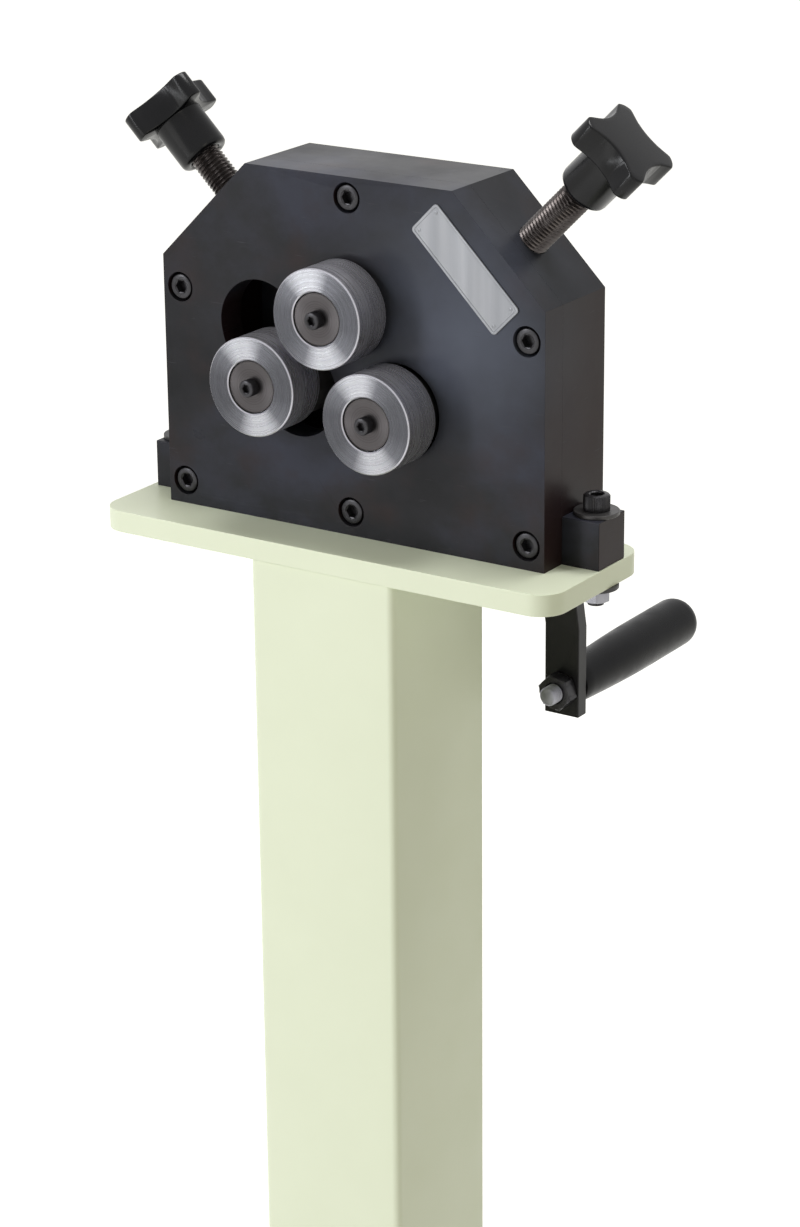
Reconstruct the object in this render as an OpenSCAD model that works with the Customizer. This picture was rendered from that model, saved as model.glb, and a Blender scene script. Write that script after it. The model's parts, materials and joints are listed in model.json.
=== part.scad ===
// Three-roll ring roller on a pedestal: a crank and a gear pair turn the top roller,
// and two star knobs set the lower rollers, which are carried on swinging arms.
// Millimetres, +Z up, the rollers face -Y. The origin is on the floor, under the post.

/* [Pedestal] */
// Height of the top plate's upper face over the floor
stand_h = 900; // [600:10:1100]
// Width of the foot plate
foot_w = 400; // [300:10:500]
// Depth of the foot plate
foot_d = 360; // [300:10:500]
// Thickness of the foot plate
foot_t = 12; // [8:1:20]
// Corner radius of the foot plate
foot_r = 20; // [10:1:40]
// Distance of the anchor holes from the foot plate's edges
anchor_inset = 30; // [20:1:60]
// Diameter of the anchor holes
anchor_d = 14; // [8:1:18]
// Side of the square post
post_w = 84; // [60:1:88]
// Wall of the post
post_wall = 3.5; // [3:0.5:8]
// Outer corner radius of the post
post_r = 4; // [3:0.5:14]
// Width of the top plate
top_w = 265; // [262:1:300]
// Depth of the top plate
top_d = 88.8; // [88:0.2:120]
// Thickness of the top plate
top_t = 11; // [8:0.5:16]
// Corner radius of the top plate
top_r = 14; // [6:0.5:18]
// How far the top plate stands in front of the post's front face
top_lead = 1.5; // [1:0.5:6]
// How far the top plate's middle stands to the left of the post's
top_shift = 1.5; // [0:0.5:4]
// How far the front plate stands behind the post's front face
plate_setback = 27.5; // [20:0.5:34]

/* [Head] */
// Width of the head
head_w = 220; // [216:1:240]
// Height of the head
head_h = 178.5; // [176:0.5:200]
// Leg of the 45 degree cut at the head's upper corners
corner_cut = 51; // [44:0.5:56]
// Thickness of the front plate
front_t = 16; // [12:0.5:20]
// Depth of the pocket in the casing
pocket_d = 28; // [28:0.5:34]
// Thickness of the casing's rear wall
rear_wall = 11; // [10:0.5:16]
// Half width of the pocket
pocket_half_w = 82; // [81:0.5:86]
// Height of the pocket's floor
pocket_floor = 30; // [28:0.5:42]
// Height of the pocket's roof above the top roller's axis
pocket_rise = 25; // [23:0.5:32]
// Room in the pocket outside the right swivel block
block_room = 12.4; // [8:0.1:16]
// Width of a mounting lug
lug_w = 20.5; // [18:0.5:20.5]
// Depth of a mounting lug
lug_d = 24.5; // [20:0.5:28]
// Height of a mounting lug
lug_h = 24; // [18:0.5:30]
// Length of the blank plate on the front
badge_len = 67; // [40:1:70]
// Width of the blank plate
badge_w = 20; // [12:0.5:22]
// Thickness of the blank plate
badge_t = 0.8; // [0.5:0.1:1.5]
// Distance of the blank plate's middle line from the head's right corner cut
badge_drop = 20.4; // [16:0.1:24]
// How far the blank plate's centre stands above the right adjusting screw's axis
badge_shift = 6; // [0:0.5:8]

/* [Rollers] */
// Diameter of a roller
roller_d = 49.4; // [40:0.2:51]
// Length of a roller
roller_len = 23.4; // [18:0.2:30]
// Gap between a roller and the front plate
roller_standoff = 4; // [4:0.1:8]
// Height of the top roller's axis over the top plate
axis_h = 115; // [114:0.5:117]
// Distance from the top roller's axis to a lower roller's axis
centre_dist = 55; // [53:0.5:56]
// Angle of the left roller below the horizontal
left_angle = 45; // [42:1:48]
// Angle of the right roller below the horizontal
right_angle = 60; // [57:1:62]
// Diameter of the recess in a roller's face
recess_d = 26.8; // [24:0.2:32]
// Depth of the recess
recess_h = 4.3; // [4:0.1:6]
// Radius of the axles that carry the rollers
axle_r = 8; // [7:0.5:8]
// Wall of a roller's bush
bush_wall = 3; // [2:0.5:3.5]
// Diameter of a roller's washer
washer_d = 26; // [20:0.2:26]
// Thickness of a roller's washer
washer_t = 3; // [2:0.1:3]

/* [Swinging arms] */
// Thickness of an arm's cheek
cheek_t = 5; // [4:0.5:5.5]
// Outer radius of the left arm's hub
hub_r = 20; // [18:0.5:22]
// Radius of the left arm's boss in the slot of the front plate
left_boss_r = 22.4; // [18:0.2:22.4]
// Radius of the right arm's boss in the hole of the front plate
right_boss_r = 20; // [16:0.5:20]
// Half width of the curved slot in the front plate
slot_r = 23; // [23:0.2:24]
// Radius of the round hole behind the right roller
right_hole_r = 24; // [24:0.5:25]
// How far the left arm swings up
left_up = 28; // [10:1:28]
// How far the left arm swings down
left_down = 12; // [4:1:12]
// Length of the right arm from its pivot to its roller
pinch_len = 45; // [44:0.5:47]
// Radius of the right arm's pivot tube
pivot_tube_r = 13; // [12:0.5:14]
// Radius of the right arm's pivot pin
pivot_pin_r = 8; // [6:0.5:8]
// Distance from the top roller's axis to the adjusting screws' axes
screw_offset = 33.8; // [33:0.1:36]

/* [Adjusting screws] */
// Outer radius of the adjusting screws
screw_r = 8; // [7:0.5:8]
// Pitch of the adjusting screws' thread
thread_pitch = 2; // [1.5:0.25:2.5]
// Length of the left screw that shows below its knob
left_stickout = 26.7; // [20:0.1:60]
// Length of the right screw that shows below its knob
right_stickout = 37.3; // [20:0.1:60]
// Radius of a screw's neck
neck_r = 5; // [4:0.25:5]
// Radius of the cross pins
cross_pin_r = 4; // [3:0.25:4]
// Diameter of a star knob
knob_d = 50; // [44:0.5:80]
// Height of a star knob
knob_h = 37.2; // [32:0.1:50]
// Height of a star knob's arms
knob_arm_h = 14.4; // [10:0.1:18]
// Radius of a star knob's hub
knob_hub_r = 12.9; // [11:0.1:14]
// Turn of the left knob's arms at rest
left_knob_phase = 72; // [0:1:90]
// Turn of the right knob's arms at rest
right_knob_phase = 48; // [0:1:90]

/* [Crank and gears] */
// Module of the gear teeth
gear_module = 2; // [2:0.5:2]
// Teeth of the drive gear
gear_teeth = 42; // [40:1:42]
// Teeth of the pinion
pinion_teeth = 22; // [20:1:22]
// Face width of the gears
gear_w = 14; // [10:0.5:16]
// Distance of the crank's axis to the right of the top roller's axis
crank_x = 62; // [60:0.5:62]
// Radius of the top shaft
top_shaft_r = 10; // [9:0.5:10]
// Radius of the crank's shaft
crank_shaft_r = 8; // [7:0.5:9]
// Inner depth of the gear case
case_d = 22; // [20:0.5:24]
// Wall of the gear case
case_wall = 4; // [4:0.5:5]
// Thickness of the gear cover
cover_t = 5; // [5:0.5:8]
// Length of the crank from axis to grip
crank_len = 199; // [150:1:230]
// Width of the crank arm
crank_w = 20; // [16:0.5:24]
// Thickness of the crank arm
crank_t = 8; // [6:0.5:10]
// Offset of the joggle in the crank arm
joggle = 13; // [11:0.5:20]
// Length of the crank's grip
grip_len = 116; // [90:1:130]
// Largest radius of the crank's grip
grip_r = 13.2; // [11:0.1:16]
// Radius of the grip's bolt
grip_bolt_r = 5; // [4:0.25:6]

/* [Fits] */
// Radial clearance of a running fit
run_gap = 0.05; // [0.02:0.01:0.08]
// Radial clearance of a fixed fit
seat_gap = 0.03; // [0.01:0.01:0.05]
// Side clearance between moving parts
side_gap = 0.4; // [0.3:0.05:0.5]
// Side clearance of the cross pins in their slots
slot_gap = 0.8; // [0.7:0.05:1]

/* [Hidden] */
$fn = 64;
// Overrun of the cuts
over = 1;
// Places along Y: the front plate's face, the pocket and the rear
post_least_r = 0.5;
post_inner_r = max(post_r - post_wall, post_least_r);
front_y = -post_w / 2 + plate_setback;
top_plate_y0 = -post_w / 2 - top_lead;
pocket_y0 = front_t;
pocket_y1 = pocket_y0 + pocket_d;
casing_y1 = pocket_y1 + rear_wall;
case_y1 = casing_y1 + case_d;
cover_y1 = case_y1 + cover_t;
screw_y = (pocket_y0 + pocket_y1) / 2;
arm_y0 = pocket_y0 + side_gap;
arm_y1 = pocket_y1 - side_gap;
cheek_y0 = arm_y0 + cheek_t;
cheek_y1 = arm_y1 - cheek_t;
roller_y1 = -roller_standoff;
roller_y0 = roller_y1 - roller_len;
recess_y = roller_y0 + recess_h;
washer_gap = 0.3;
axle_y0 = recess_y - washer_gap;
washer_y0 = axle_y0 - washer_t;
boss_y0 = roller_y1 + side_gap;
// Lower rollers' axes at rest
left_x = -centre_dist * cos(left_angle);
left_z = axis_h - centre_dist * sin(left_angle);
right_x = centre_dist * cos(right_angle);
right_z = axis_h - centre_dist * sin(right_angle);
// Upper corner lines of the head and lines of the adjusting screws
cut_sum = head_w / 2 + head_h - corner_cut;
screw_line = axis_h - screw_offset * sqrt(2);
cut_x = (cut_sum - screw_line) / 2;
// Left cross pin, on the left arm's centre line when the arm is at 45 degrees
left_pin_x = -screw_offset / sqrt(2);
left_pin_z = axis_h + left_pin_x;
// Right pivot, square to the line between the rollers, and right cross pin
pivot_x = right_x + pinch_len * sin(right_angle);
pivot_z = right_z + pinch_len * cos(right_angle);
pin_shift = (screw_line - (pivot_z - pivot_x)) / 2;
right_pin_x = pivot_x - pin_shift;
right_pin_z = pivot_z + pin_shift;
left_pin_depth = (cut_x + left_pin_x) * sqrt(2);
right_pin_depth = (cut_x - right_pin_x) * sqrt(2);
pocket_roof = axis_h + pocket_rise;
half_turn = 180;
// Step between the curved slot's sides and its round ends
slot_end_step = 0.2;
// Cross pin travel in the left arm's slot
pin_far = screw_offset / cos(left_up);
arm_slot_r = cross_pin_r + slot_gap;
// Swivel blocks
block_half = 8;
block_tail = 7;
block_nose = 19;
groove_at = 12;
groove_w = 3.4;
groove_r = 3.4;
retainer_r = 1.5;
neck_step = 0.3;
neck_start = cross_pin_r + over;
// Upper corner lines of the pocket, outside the swivel blocks
pocket_sum = right_pin_x + right_pin_z + (block_nose + block_room) * sqrt(2);
// Crank and gear places
gear_dist = gear_module * (gear_teeth + pinion_teeth) / 2;
crank_drop = acos(crank_x / gear_dist);
crank_z = axis_h - gear_dist * sin(crank_drop);
gear_y0 = casing_y1 + (case_d - gear_w) / 2;
gear_y1 = gear_y0 + gear_w;
tip_gap = 1;
gear_tip_r = gear_module * gear_teeth / 2 + gear_module;
pinion_tip_r = gear_module * pinion_teeth / 2 + gear_module;
cover_head_h = 2.5;
crank_hub_y0 = cover_y1 + cover_head_h + over;
crank_hub_y1 = crank_hub_y0 + crank_t;
grip_arm_y0 = crank_hub_y0 + joggle;
grip_arm_y1 = grip_arm_y0 + crank_t;
grip_z = crank_z - crank_len;
grip_y0 = grip_arm_y1 + side_gap;
grip_y1 = grip_y0 + grip_len;
crank_hub_r = 16;
crank_tail = 14.2;
crank_flat = 34;
joggle_run = 58;
joggle_bottom = grip_z + crank_flat;
joggle_top = joggle_bottom + joggle_run;
// Fasteners: 8 mm, 5 mm and 10 mm threads
m8_r = 4;
m8_head_r = 6.5;
m8_head_h = 8;
m8_hex = 3.5;
m8_nut_r = 7.5;
m8_nut_h = 6.5;
lug_bolt_out = 1.25;
lug_bolt_back = 0.9;
m8_washer_r = 11.2;
m8_washer_t = 2;
m8_pilot_r = 4.5;
m8_sink_r = 7.5;
m8_sink_h = 8.6;
m8_len = 28;
m5_r = 2.5;
m5_head_r = 4.25;
m5_head_h = 5;
m5_hex = 2.3;
m5_len = 14;
m10_nut_r = 9.8;
m10_nut_h = 8;
m10_nut_turn = 13.5;
m10_tip = 6.2;
m10_head_r = 8;
m10_head_h = 6;
// Distance of the front plate's screws from the head's sides
side_inset = 10;
low_screw_z = 12;
mid_screw_drop = 15.5;
mid_screw_z = head_h - corner_cut - mid_screw_drop;
top_screw_drop = 10.2;
face_screws = [[-head_w / 2 + side_inset, low_screw_z], [0, low_screw_z],
    [head_w / 2 - side_inset, low_screw_z], [-head_w / 2 + side_inset, mid_screw_z],
    [head_w / 2 - side_inset, mid_screw_z], [0, head_h - top_screw_drop]];
// Bushes and keys
bush_out_r = 14;
bush_flange_r = 18;
bush_flange_t = 2.5;
collar_len = 12;
small_bush_wall = 3;
pivot_seat = 4;
small_bush_len = rear_wall - pivot_seat - over;
shaft_end_gap = 1;
key_w = 4;
key_h = 4;
key_sink = 2;
roller_key_len = 15;
// Blank plate on the front
badge_r = 2;
badge_x = cut_x - (badge_drop + badge_shift) / sqrt(2);
badge_z = cut_sum - cut_x - (badge_drop - badge_shift) / sqrt(2);
// Gear cover screws, on the case's rim
cover_screw_r = 2;
cover_head_r = 3.5;
cover_screw_grip = 6;
cover_screw_len = cover_t + case_d + cover_screw_grip;
rim_pad_r = 6;
// Star knob's arms
knob_cut_r_share = 0.942;
knob_cut_at_share = 1.552;
knob_bore_len = 22;

// Moves a shape from the head's frame (front face, top plate's upper face) to the floor's
module in_head() {
    translate([0, front_y, stand_h]) children();
}

// A rod along Y at (x, z), from y0 to y1
module rod(x, z, r, y0, y1) {
    translate([x, y0, z]) rotate([-90, 0, 0]) cylinder(r = r, h = y1 - y0);
}

// An outline drawn in X and Z, from y0 to y1
module slab(y0, y1) {
    translate([0, y1, 0]) rotate([90, 0, 0]) linear_extrude(height = y1 - y0) children();
}

// A rectangle with round corners, centred
module round_rect(w, d, r) {
    union() {
        square([w - 2 * r, d], center = true);
        square([w, d - 2 * r], center = true);
        for (sx = [-1, 1]) for (sy = [-1, 1])
            translate([sx * (w / 2 - r), sy * (d / 2 - r)]) circle(r = r);
    }
}

// The straight-sided band that joins two circles, without the circles
module band(p, rp, q, rq) {
    d = norm(q - p);
    a = atan2(q[1] - p[1], q[0] - p[0]);
    t = acos((rp - rq) / d);
    polygon([p + rp * [cos(a + t), sin(a + t)], p + rp * [cos(a - t), sin(a - t)],
        q + rq * [cos(a - t), sin(a - t)], q + rq * [cos(a + t), sin(a + t)]]);
}

module link(p, rp, q, rq) {
    union() {
        translate(p) circle(r = rp);
        translate(q) circle(r = rq);
        band(p, rp, q, rq);
    }
}

// The head's outline, seen from the front
module head_outline() {
    w = head_w / 2;
    polygon([[-w, 0], [w, 0], [w, head_h - corner_cut], [w - corner_cut, head_h],
        [corner_cut - w, head_h], [-w, head_h - corner_cut]]);
}

// The pocket's outline: its upper corners run parallel to the head's
module pocket_outline() {
    w = pocket_half_w;
    s = pocket_sum;
    polygon([[-w, pocket_floor], [w, pocket_floor], [w, s - w], [s - pocket_roof, pocket_roof],
        [pocket_roof - s, pocket_roof], [-w, s - w]]);
}

// A piece of a ring around the top roller's axis, between two angles below the horizontal
module arc_slot(r, a0, a1) {
    steps = 12;
    function at(k, rr) = let (a = 180 + a0 + (a1 - a0) * k / steps)
        [rr * cos(a), axis_h + rr * sin(a)];
    outer = [for (k = [0:steps]) at(k, centre_dist + r)];
    inner = [for (k = [steps:-1:0]) at(k, centre_dist - r)];
    union() {
        polygon(concat(outer, inner));
        translate(at(0, centre_dist)) circle(r = r - slot_end_step);
        translate(at(steps, centre_dist)) circle(r = r - slot_end_step);
    }
}

// Frame of an adjusting screw: origin on its cross pin, +Z out along the screw
module on_screw(side) {
    x = side < 0 ? left_pin_x : right_pin_x;
    z = side < 0 ? left_pin_z : right_pin_z;
    in_head() translate([x, screw_y, z]) rotate([0, side * 45, 0]) children();
}

// A cap screw along -Z from the underside of its head, with a hexagonal socket
module cap_screw(r, head_r, head_h, hex_r, len) {
    difference() {
        union() {
            cylinder(r = head_r, h = head_h);
            translate([0, 0, -len]) cylinder(r = r, h = len + over);
        }
        translate([0, 0, head_h / 2]) cylinder(r = hex_r, h = head_h, $fn = 6);
    }
}

module foot_plate() {
    color("darkseagreen") difference() {
        linear_extrude(height = foot_t) round_rect(foot_w, foot_d, foot_r);
        for (sx = [-1, 1]) for (sy = [-1, 1])
            translate([sx * (foot_w / 2 - anchor_inset), sy * (foot_d / 2 - anchor_inset), -over])
                cylinder(r = anchor_d / 2, h = foot_t + 2 * over);
    }
}

module post_tube() {
    h = stand_h - top_t - foot_t;
    color("darkseagreen") translate([0, 0, foot_t]) difference() {
        linear_extrude(height = h) round_rect(post_w, post_w, post_r);
        translate([0, 0, -over]) linear_extrude(height = h + 2 * over)
            round_rect(post_w - 2 * post_wall, post_w - 2 * post_wall, post_inner_r);
    }
}

module top_plate() {
    color("darkseagreen") difference() {
        translate([-top_shift, top_plate_y0 + top_d / 2, stand_h - top_t])
            linear_extrude(height = top_t) round_rect(top_w, top_d, top_r);
        for (side = [-1, 1]) at_lug_bolt(side) translate([0, 0, -top_t - over])
            cylinder(r = m8_pilot_r, h = top_t + 2 * over);
    }
}

// The axis of a mounting lug's bolt
module at_lug_bolt(side) {
    at_lug(side) translate([side * lug_bolt_out, lug_bolt_back, 0]) children();
}

// The middle of a mounting lug's foot
module at_lug(side) {
    in_head() translate([side * (head_w + lug_w) / 2, front_t + lug_d / 2, 0]) children();
}

module lug(side) {
    color("dimgray") difference() {
        at_lug(side) translate([-lug_w / 2, -lug_d / 2, 0]) cube([lug_w, lug_d, lug_h]);
        at_lug_bolt(side) translate([0, 0, -over]) cylinder(r = m8_pilot_r, h = lug_h + 2 * over);
    }
}

module lug_bolts() {
    len = lug_h + top_t + 2 * m8_washer_t + m8_nut_h + m8_r / 2;
    color("black") for (side = [-1, 1]) at_lug_bolt(side)
        translate([0, 0, lug_h + m8_washer_t]) cap_screw(m8_r, m8_head_r, m8_head_h, m8_hex, len);
}

module lug_washers() {
    color("silver") for (side = [-1, 1]) for (z = [lug_h, -top_t - m8_washer_t])
        at_lug_bolt(side) translate([0, 0, z]) difference() {
            cylinder(r = m8_washer_r, h = m8_washer_t);
            translate([0, 0, -over]) cylinder(r = m8_r + run_gap, h = m8_washer_t + 2 * over);
        }
}

module lug_nuts() {
    color("silver") for (side = [-1, 1]) at_lug_bolt(side)
        translate([0, 0, -top_t - m8_washer_t - m8_nut_h]) difference() {
            cylinder(r = m8_nut_r, h = m8_nut_h, $fn = 6);
            translate([0, 0, -over]) cylinder(r = m8_r + run_gap, h = m8_nut_h + 2 * over);
        }
}

module body_casing() {
    color("dimgray") difference() {
        in_head() difference() {
            slab(front_t, casing_y1) head_outline();
            slab(front_t - over, pocket_y1) pocket_outline();
            rod(0, axis_h, bush_out_r + seat_gap, pocket_y1 - over, casing_y1 + over);
            rod(crank_x, crank_z, crank_shaft_r + small_bush_wall + seat_gap,
                casing_y1 - small_bush_len, casing_y1 + over);
            rod(pivot_x, pivot_z, pivot_pin_r + seat_gap, pocket_y1 - over, pocket_y1 + pivot_seat);
            for (p = face_screws)
                rod(p[0], p[1], m8_r + run_gap, front_t - over, m8_sink_h + m8_len);
            for (p = cover_screws_at) rod(p[0], p[1], cover_screw_r + run_gap,
                casing_y1 - cover_screw_grip - over, casing_y1 + over);
        }
        for (side = [-1, 1]) on_screw(side)
            cylinder(r = screw_r + run_gap, h = cut_x * sqrt(2) + block_nose);
    }
}

module front_plate() {
    color("dimgray") in_head() difference() {
        slab(0, front_t) head_outline();
        slab(-over, front_t + over)
            arc_slot(slot_r, left_angle - left_up, left_angle + left_down);
        rod(right_x, right_z, right_hole_r, -over, front_t + over);
        rod(0, axis_h, bush_out_r + seat_gap, -over, front_t + over);
        rod(pivot_x, pivot_z, pivot_pin_r + seat_gap, front_t / 2, front_t + over);
        for (p = face_screws) {
            rod(p[0], p[1], m8_pilot_r, -over, front_t + over);
            rod(p[0], p[1], m8_sink_r, -over, m8_sink_h);
        }
    }
}

module front_plate_screws() {
    color("black") in_head() for (p = face_screws)
        translate([p[0], m8_sink_h, p[1]]) rotate([90, 0, 0])
            cap_screw(m8_r, m8_head_r, m8_head_h, m8_hex, m8_len - over);
}

module badge_plate() {
    color("darkorange") in_head() slab(-badge_t, 0) translate([badge_x, badge_z]) rotate([0, 0, -45])
        round_rect(badge_len, badge_w, badge_r);
}

// The gear case's outline, as far as r outside the gears' tips
module case_outline(r) {
    link([0, axis_h], gear_tip_r + r, [crank_x, crank_z], pinion_tip_r + r);
}

// Places of the gear cover's screws, round the top roller's axis
cover_screws_r = gear_tip_r + tip_gap + case_wall + rim_pad_r / 2;
cover_screws_at = [for (a = [60, 180, 250]) [cover_screws_r * cos(a), axis_h + cover_screws_r * sin(a)]];

module case_pads() {
    for (p = cover_screws_at) translate(p) circle(r = rim_pad_r);
}

module gear_case() {
    color("dimgray") in_head() difference() {
        union() {
            slab(casing_y1, case_y1) case_outline(tip_gap + case_wall);
            slab(casing_y1, case_y1) case_pads();
        }
        slab(casing_y1 - over, case_y1 + over) case_outline(tip_gap);
        for (p = cover_screws_at) rod(p[0], p[1], cover_screw_r + run_gap, casing_y1 - over, case_y1 + over);
    }
}

module gear_cover() {
    color("dimgray") in_head() difference() {
        union() {
            slab(case_y1, cover_y1) case_outline(tip_gap + case_wall);
            slab(case_y1, cover_y1) case_pads();
        }
        rod(0, axis_h, top_shaft_r + small_bush_wall + seat_gap, case_y1 - over, cover_y1 - cover_t / 4);
        rod(crank_x, crank_z, crank_shaft_r + small_bush_wall + seat_gap, case_y1 - over, cover_y1 + over);
        for (p = cover_screws_at) rod(p[0], p[1], cover_screw_r + run_gap, case_y1 - over, cover_y1 + over);
    }
}

module cover_screws() {
    color("black") in_head() for (p = cover_screws_at)
        translate([p[0], cover_y1, p[1]]) rotate([-90, 0, 0])
            cap_screw(cover_screw_r, cover_head_r, cover_head_h, cover_screw_r, cover_screw_len);
}

// A plain bush along Y
module bush(x, z, r_in, r_out, y0, y1) {
    difference() {
        rod(x, z, r_out, y0, y1);
        rod(x, z, r_in, y0 - over, y1 + over);
    }
}

module top_front_bush() {
    color("peru") in_head() difference() {
        union() {
            rod(0, axis_h, bush_out_r, -bush_flange_t, pocket_y0 + collar_len);
            rod(0, axis_h, bush_flange_r, -bush_flange_t, 0);
        }
        rod(0, axis_h, top_shaft_r + run_gap, -bush_flange_t - over, pocket_y0 + collar_len + over);
    }
}

module top_rear_bush() {
    color("peru") in_head()
        bush(0, axis_h, top_shaft_r + run_gap, bush_out_r, pocket_y1 - collar_len, casing_y1);
}

module top_cover_bush() {
    color("peru") in_head() bush(0, axis_h, top_shaft_r + run_gap, top_shaft_r + small_bush_wall,
        case_y1, cover_y1 - cover_t / 4);
}

module crank_front_bush() {
    color("peru") in_head() bush(crank_x, crank_z, crank_shaft_r + run_gap,
        crank_shaft_r + small_bush_wall, casing_y1 - small_bush_len, casing_y1);
}

module crank_rear_bush() {
    color("peru") in_head() bush(crank_x, crank_z, crank_shaft_r + run_gap,
        crank_shaft_r + small_bush_wall, case_y1, cover_y1);
}

module pinch_pivot_pin() {
    color("silver") in_head() rod(pivot_x, pivot_z, pivot_pin_r, front_t / 2, pocket_y1 + pivot_seat);
}

// A key on a shaft along Y, grown all round by grow
module key_block(x, z, r, y0, y1, grow) {
    translate([x - key_w / 2 - grow, y0 - grow, z + r - key_sink - grow])
        cube([key_w + 2 * grow, y1 - y0 + 2 * grow, key_h + 2 * grow]);
}

module top_shaft() {
    y1 = cover_y1 - cover_t / 4 - shaft_end_gap;
    key_y = (roller_y0 + recess_h + roller_y1) / 2;
    color("silver") in_head() difference() {
        union() {
            rod(0, axis_h, axle_r, axle_y0, 0);
            rod(0, axis_h, top_shaft_r, roller_y1 + side_gap, y1);
        }
        rod(0, axis_h, m5_r + run_gap, axle_y0 - over, axle_y0 + m5_len);
        key_block(0, axis_h, axle_r, key_y - roller_key_len / 2, key_y + roller_key_len / 2, seat_gap);
        key_block(0, axis_h, top_shaft_r, gear_y0, gear_y1, seat_gap);
    }
}

// A roller's body: recess in its face and a bore along Y
module roller_body(x, z, bore_r) {
    difference() {
        rod(x, z, roller_d / 2, roller_y0, roller_y1);
        rod(x, z, recess_d / 2, roller_y0 - over, recess_y);
        rod(x, z, bore_r, recess_y - over, roller_y1 + over);
    }
}

module roller_washer(x, z) {
    color("dimgray") in_head() difference() {
        rod(x, z, washer_d / 2, washer_y0, axle_y0);
        rod(x, z, m5_r + run_gap, washer_y0 - over, axle_y0 + over);
    }
}

module roller_screw(x, z) {
    color("dimgray") in_head() translate([x, washer_y0, z]) rotate([90, 0, 0])
        cap_screw(m5_r, m5_head_r, m5_head_h, m5_hex, m5_len);
}

module top_roller() {
    key_y = (roller_y0 + recess_h + roller_y1) / 2;
    color("silver") in_head() difference() {
        roller_body(0, axis_h, axle_r + seat_gap);
        key_block(0, axis_h, axle_r, key_y - roller_key_len / 2, roller_y1 + over, seat_gap);
    }
}

module top_roller_key() {
    key_y = (roller_y0 + recess_h + roller_y1) / 2;
    color("gray") in_head()
        key_block(0, axis_h, axle_r, key_y - roller_key_len / 2, key_y + roller_key_len / 2, 0);
}

// Outline of a gear: straight-flanked teeth, the first on +X
module gear_outline(teeth, gap) {
    pitch = 360 / teeth;
    pr = gear_module * teeth / 2;
    tip = pr + gear_module;
    root = pr - gear_module - gear_module / 4;
    back = gap / pr * 180 / PI;
    // Half widths of a tooth in degrees at the root, the pitch circle and the tip
    wide_share = 0.36;
    mid_share = 0.25;
    slim_share = 0.13;
    polygon([for (k = [0:teeth - 1]) for (q = [[root, -wide_share], [pr, -mid_share], [tip, -slim_share],
        [tip, slim_share], [pr, mid_share], [root, wide_share]])
        let (a = k * pitch + q[1] * pitch - sign(q[1]) * back) q[0] * [cos(a), sin(a)]]);
}

module gear(x, z, teeth, turn, bore_r) {
    tooth_play = 0.12;
    difference() {
        slab(gear_y0, gear_y1) translate([x, z]) rotate([0, 0, turn]) gear_outline(teeth, tooth_play);
        rod(x, z, bore_r, gear_y0 - over, gear_y1 + over);
    }
}

module drive_gear() {
    color("slategray") in_head() difference() {
        gear(0, axis_h, gear_teeth, -crank_drop, top_shaft_r + seat_gap);
        key_block(0, axis_h, top_shaft_r, gear_y0 - over, gear_y1 + over, seat_gap);
    }
}

module drive_gear_key() {
    color("gray") in_head() key_block(0, axis_h, top_shaft_r, gear_y0, gear_y1, 0);
}

module crank_shaft() {
    color("silver") in_head() difference() {
        rod(crank_x, crank_z, crank_shaft_r, casing_y1 - small_bush_len + side_gap, crank_hub_y1);
        key_block(crank_x, crank_z, crank_shaft_r, gear_y0, gear_y1, seat_gap);
        rod(crank_x, crank_z, m5_r + run_gap, crank_hub_y1 - m5_len, crank_hub_y1 + over);
    }
}

module crank_pinion() {
    turn = half_turn - crank_drop + half_turn / pinion_teeth;
    color("slategray") in_head() difference() {
        gear(crank_x, crank_z, pinion_teeth, turn, crank_shaft_r + seat_gap);
        key_block(crank_x, crank_z, crank_shaft_r, gear_y0 - over, gear_y1 + over, seat_gap);
    }
}

module pinion_key() {
    color("gray") in_head() key_block(crank_x, crank_z, crank_shaft_r, gear_y0, gear_y1, 0);
}

// Side view of the crank arm in Y and Z
module crank_profile() {
    polygon([[crank_hub_y0, crank_z + crank_hub_r], [crank_hub_y1, crank_z + crank_hub_r],
        [crank_hub_y1, joggle_top], [grip_arm_y1, joggle_bottom],
        [grip_arm_y1, grip_z - crank_tail], [grip_arm_y0, grip_z - crank_tail],
        [grip_arm_y0, joggle_bottom], [crank_hub_y0, joggle_top]]);
}

module crank_arm() {
    color("black") in_head() difference() {
        union() {
            translate([crank_x - crank_w / 2, 0, 0]) rotate([90, 0, 90])
                linear_extrude(height = crank_w) crank_profile();
            rod(crank_x, crank_z, crank_hub_r, crank_hub_y0, crank_hub_y1);
        }
        rod(crank_x, crank_z, crank_shaft_r + seat_gap, crank_hub_y0 - over, crank_hub_y1 + over);
        rod(crank_x, grip_z, grip_bolt_r + seat_gap, grip_arm_y0 - over, grip_arm_y1 + over);
    }
}

module crank_washer() {
    color("silver") in_head() bush(crank_x, crank_z, m5_r + run_gap, crank_shaft_r + washer_t,
        crank_hub_y1, crank_hub_y1 + washer_t);
}

module crank_screw() {
    color("black") in_head() translate([crank_x, crank_hub_y1 + washer_t, crank_z])
        rotate([-90, 0, 0]) cap_screw(m5_r, m5_head_r, m5_head_h, m5_hex, m5_len);
}

module grip_bolt() {
    y0 = grip_arm_y0 - m10_nut_h - m10_tip;
    color("silver") in_head() {
        rod(crank_x, grip_z, grip_bolt_r, y0, grip_y1 - over);
        rod(crank_x, grip_z, m10_head_r, grip_y1 - m10_head_h, grip_y1 - over);
    }
}

module grip_nut() {
    color("black") in_head() difference() {
        translate([crank_x, grip_arm_y0 - m10_nut_h, grip_z]) rotate([-90, 0, 0])
            rotate([0, 0, m10_nut_turn]) cylinder(r = m10_nut_r, h = m10_nut_h, $fn = 6);
        rod(crank_x, grip_z, grip_bolt_r + run_gap, grip_arm_y0 - m10_nut_h - over, grip_arm_y0 + over);
    }
}

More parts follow.
